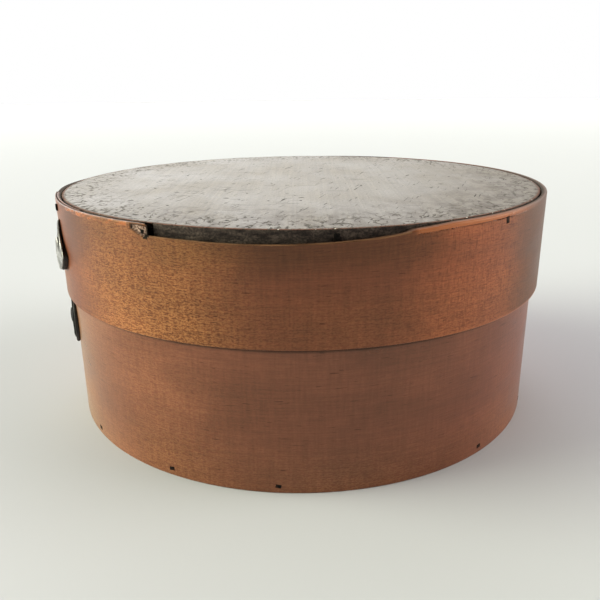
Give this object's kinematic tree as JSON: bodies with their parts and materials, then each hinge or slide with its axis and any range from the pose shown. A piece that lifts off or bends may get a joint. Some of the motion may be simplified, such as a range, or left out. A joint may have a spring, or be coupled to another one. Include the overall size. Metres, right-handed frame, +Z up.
{
  "type": "round bentwood pantry box",
  "caption": "Round box of thin bent wood with a nailed flat bottom and a deep lift-off lid, worn and dark-topped, for dry food or sewing things.",
  "frame": {"origin": "centre of the face that the box stands on", "axes": "+Z up, the way the lid lifts; -Y towards the front, where the lid rim is broken"},
  "size_m": [0.21, 0.21, 0.094],
  "materials": {
    "bent_wood": "aged shellac, satin",
    "painted_wood": "worn dark paint",
    "plain_wood": "bare, aged",
    "iron": "rusted black",
    "tinned": "worn tin plate",
    "leather": "black, dry"
  },
  "bodies": {
    "box": {"body_band": "bent_wood", "bottom_board": "plain_wood", "bottom_nails": "iron", "body_seam_tacks": "iron", "body_rivet": "tinned", "body_rivet_cap": "tinned", "body_rivet_pad": "leather", "body_rivet_burr": "tinned"},
    "lid": {"lid_rim": "bent_wood", "lid_board": "painted_wood", "lid_nails": "iron", "lid_seam_tacks": "iron", "lid_rivet": "tinned", "lid_rivet_cap": "tinned", "lid_rivet_pad": "leather", "lid_rivet_burr": "tinned"}
  },
  "joints": [
    {"name": "lid_lift", "type": "slide", "parent": "box", "child": "lid", "axis": [0, 0, 1], "range_m": [0, 0.15]}
  ]
}
